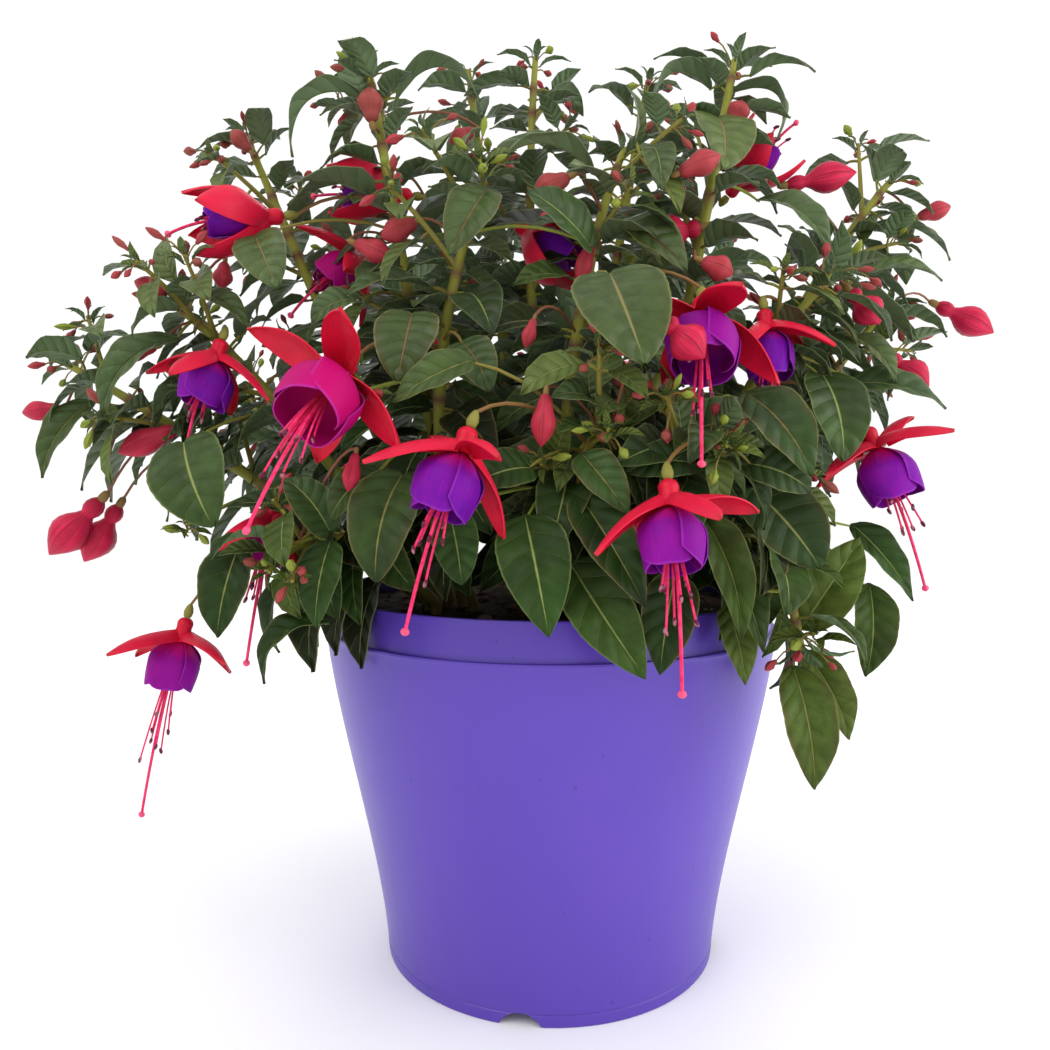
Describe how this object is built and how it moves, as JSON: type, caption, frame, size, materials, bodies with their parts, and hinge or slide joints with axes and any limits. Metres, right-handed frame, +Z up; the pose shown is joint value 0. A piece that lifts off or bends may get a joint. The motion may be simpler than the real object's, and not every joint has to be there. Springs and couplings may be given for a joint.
{
  "type": "potted fuchsia plant",
  "caption": "Bushy upright fuchsia in full bloom, with hanging bell flowers, standing in a tall waisted plastic pot.",
  "frame": {"origin": "on the ground, on the pot's axis", "axes": "+Z up, -Y towards the side with most blooms, +X to its right"},
  "size_m": [0.5012, 0.3762, 0.4702],
  "materials": {
    "pot": "satin violet moulded plastic",
    "soil": "rough dark potting soil with bark",
    "foliage": "dull green leaves on yellow-green and brown stems, rosy buds",
    "sepal": "waxy crimson red",
    "corolla": "soft violet purple"
  },
  "bodies": {
    "root": {"pot": "pot", "soil": "soil", "stem_centre": "foliage", "stem_centre_left": "foliage", "stem_left_tall": "foliage", "stem_right_tall": "foliage", "stem_top": "foliage", "stem_top_left": "foliage", "stem_left_upper": "foliage", "stem_left": "foliage", "stem_left_far": "foliage", "stem_right": "foliage", "stem_right_upper": "foliage", "stem_right_far": "foliage", "stem_right_low": "foliage", "stem_front": "foliage", "stem_front_right": "foliage", "stem_top_right": "foliage", "stem_left_low": "foliage", "stem_back_left": "foliage", "stem_back_right": "foliage", "stem_back": "foliage", "stem_back_left_low": "foliage", "stem_back_right_low": "foliage", "bloom_01_sepals": "sepal", "bloom_01_corolla": "corolla", "bloom_02_sepals": "sepal", "bloom_02_corolla": "corolla", "bloom_03_sepals": "sepal", "bloom_03_corolla": "corolla", "bloom_04_sepals": "sepal", "bloom_04_corolla": "corolla", "bloom_05_sepals": "sepal", "bloom_05_corolla": "corolla", "bloom_06_sepals": "sepal", "bloom_06_corolla": "corolla", "bloom_07_sepals": "sepal", "bloom_07_corolla": "corolla", "bloom_08_sepals": "sepal", "bloom_08_corolla": "corolla", "bloom_09_sepals": "sepal", "bloom_09_corolla": "corolla", "bloom_10_sepals": "sepal", "bloom_10_corolla": "corolla", "bloom_11_sepals": "sepal", "bloom_11_corolla": "corolla", "bloom_12_sepals": "sepal", "bloom_12_corolla": "corolla", "bloom_13_sepals": "sepal", "bloom_13_corolla": "corolla", "bloom_14_sepals": "sepal", "bloom_14_corolla": "corolla", "bloom_15_sepals": "sepal", "bloom_15_corolla": "corolla", "bloom_16_sepals": "sepal", "bloom_16_corolla": "corolla", "bloom_17_sepals": "sepal", "bloom_17_corolla": "corolla", "bloom_18_sepals": "sepal", "bloom_18_corolla": "corolla"}
  },
  "joints": []
}
